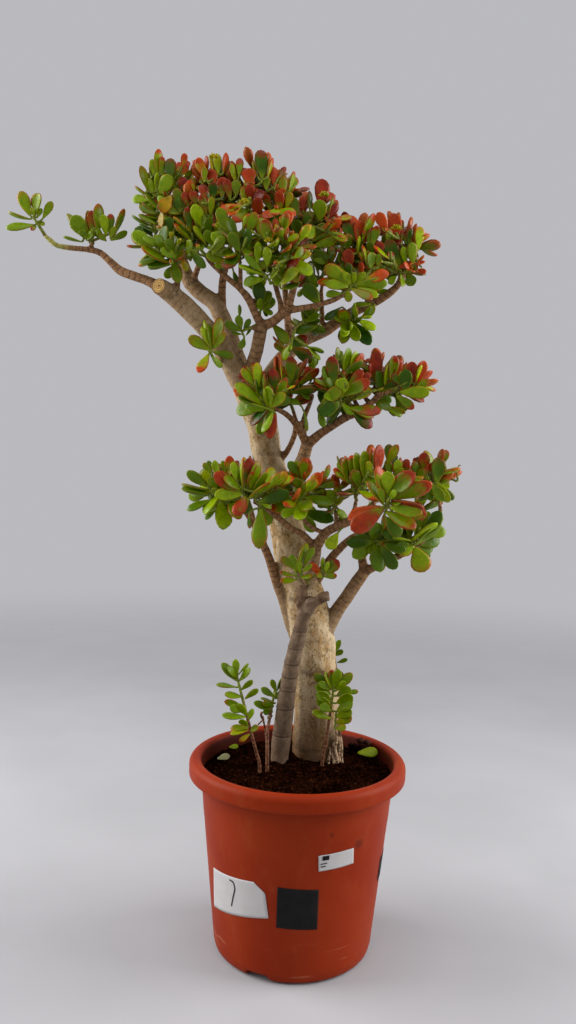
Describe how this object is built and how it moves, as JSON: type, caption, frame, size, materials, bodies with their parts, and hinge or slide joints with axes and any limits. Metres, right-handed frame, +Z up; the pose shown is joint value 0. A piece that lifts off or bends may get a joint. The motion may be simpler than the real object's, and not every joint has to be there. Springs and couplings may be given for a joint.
{
  "type": "jade bonsai in a pot",
  "caption": "Tree-shaped jade plant with a thick branching trunk, fleshy oval leaves in sprays and suckers at its foot, grown in a round tapered nursery pot filled with soil",
  "frame": {"origin": "middle of the flat pad under the pot, on the surface that the pot stands on", "axes": "+Z is up along the pot's axis, -Y is the front of the plant, +X is to the right seen from the front"},
  "size_m": [0.6415, 0.3296, 1.1533],
  "materials": {
    "pot_plastic": "terracotta coloured, slightly glossy moulded plastic",
    "potting_soil": "dark crumbly soil of peat and bark",
    "bark": "smooth beige bark with folds and pale specks",
    "grey_bark": "grey brown bark with ring scars",
    "leaf": "waxy green, reddish at the edges and tips",
    "dry_leaf": "dry, pale and dull",
    "white_paper": "white sticker paper",
    "black_paper": "black, slightly glossy sticker paper"
  },
  "bodies": {
    "root": {"pot": "pot_plastic", "soil": "potting_soil", "trunk": "bark", "front_stem": "grey_bark", "far_left_tip": "leaf", "far_left_row": "leaf", "crown_left_tall": "leaf", "crown_left_low": "leaf", "crown_left_mid": "leaf", "crown_left_back": "leaf", "crown_front_left": "leaf", "crown_top_left": "leaf", "crown_top_mid": "leaf", "crown_top_right": "leaf", "crown_top_far_right": "leaf", "crown_front_mid": "leaf", "crown_front_right": "leaf", "crown_back_left": "leaf", "crown_back_right": "leaf", "crown_back_far": "leaf", "right_crown_rosette": "leaf", "right_crown_top": "leaf", "right_crown_end": "leaf", "right_crown_low": "leaf", "right_crown_inner": "leaf", "right_crown_back": "leaf", "under_right": "leaf", "under_middle": "leaf", "under_left": "leaf", "elbow": "leaf", "under_crown": "leaf", "middle_left_front": "leaf", "middle_left_top": "leaf", "middle_left_back": "leaf", "middle_right_top": "leaf", "middle_right_front": "leaf", "middle_right_mid": "leaf", "middle_right_end": "leaf", "middle_right_back": "leaf", "low_left_inner": "leaf", "low_left_end": "leaf", "low_left_back": "leaf", "low_centre": "leaf", "low_right_rosette": "leaf", "low_right_left": "leaf", "low_right_top": "leaf", "low_right_end": "leaf", "low_right_low": "leaf", "low_right_under": "leaf", "low_right_inner": "leaf", "low_right_back": "leaf", "knob_tufts": "leaf", "sucker_left": "leaf", "sucker_middle": "leaf", "sucker_right": "leaf", "leaf_fallen_green": "leaf", "leaf_fallen_pale": "dry_leaf", "label_white": "white_paper", "label_small": "white_paper", "label_black": "black_paper"}
  },
  "joints": []
}
